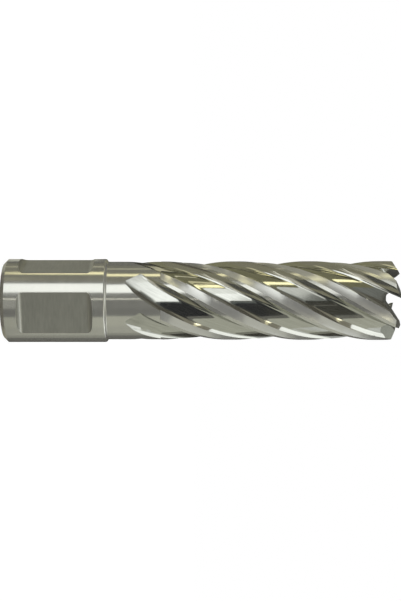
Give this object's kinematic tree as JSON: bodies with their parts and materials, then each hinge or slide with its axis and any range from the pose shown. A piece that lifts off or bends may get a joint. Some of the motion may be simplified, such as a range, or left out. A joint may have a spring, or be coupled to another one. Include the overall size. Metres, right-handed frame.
{
  "type": "annular cutter",
  "caption": "Hollow cylindrical cutter with right-hand helical flutes, ground end teeth, and a plain shank with side-lock flats at a right angle, for cutting a ring-shaped groove through metal.",
  "frame": {"origin": "centre of the shank's end face, at the foot of the standing cutter", "axes": "+Z along the axis of rotation, from the shank to the teeth; the first side-lock flat faces -Y and the second faces -X"},
  "size_m": [0.019, 0.019, 0.09],
  "materials": {
    "ground_steel": "ground and polished high-speed steel, with fine grinding marks and matt side-lock flats"
  },
  "bodies": {
    "root": {"cutter": "ground_steel"}
  },
  "joints": []
}
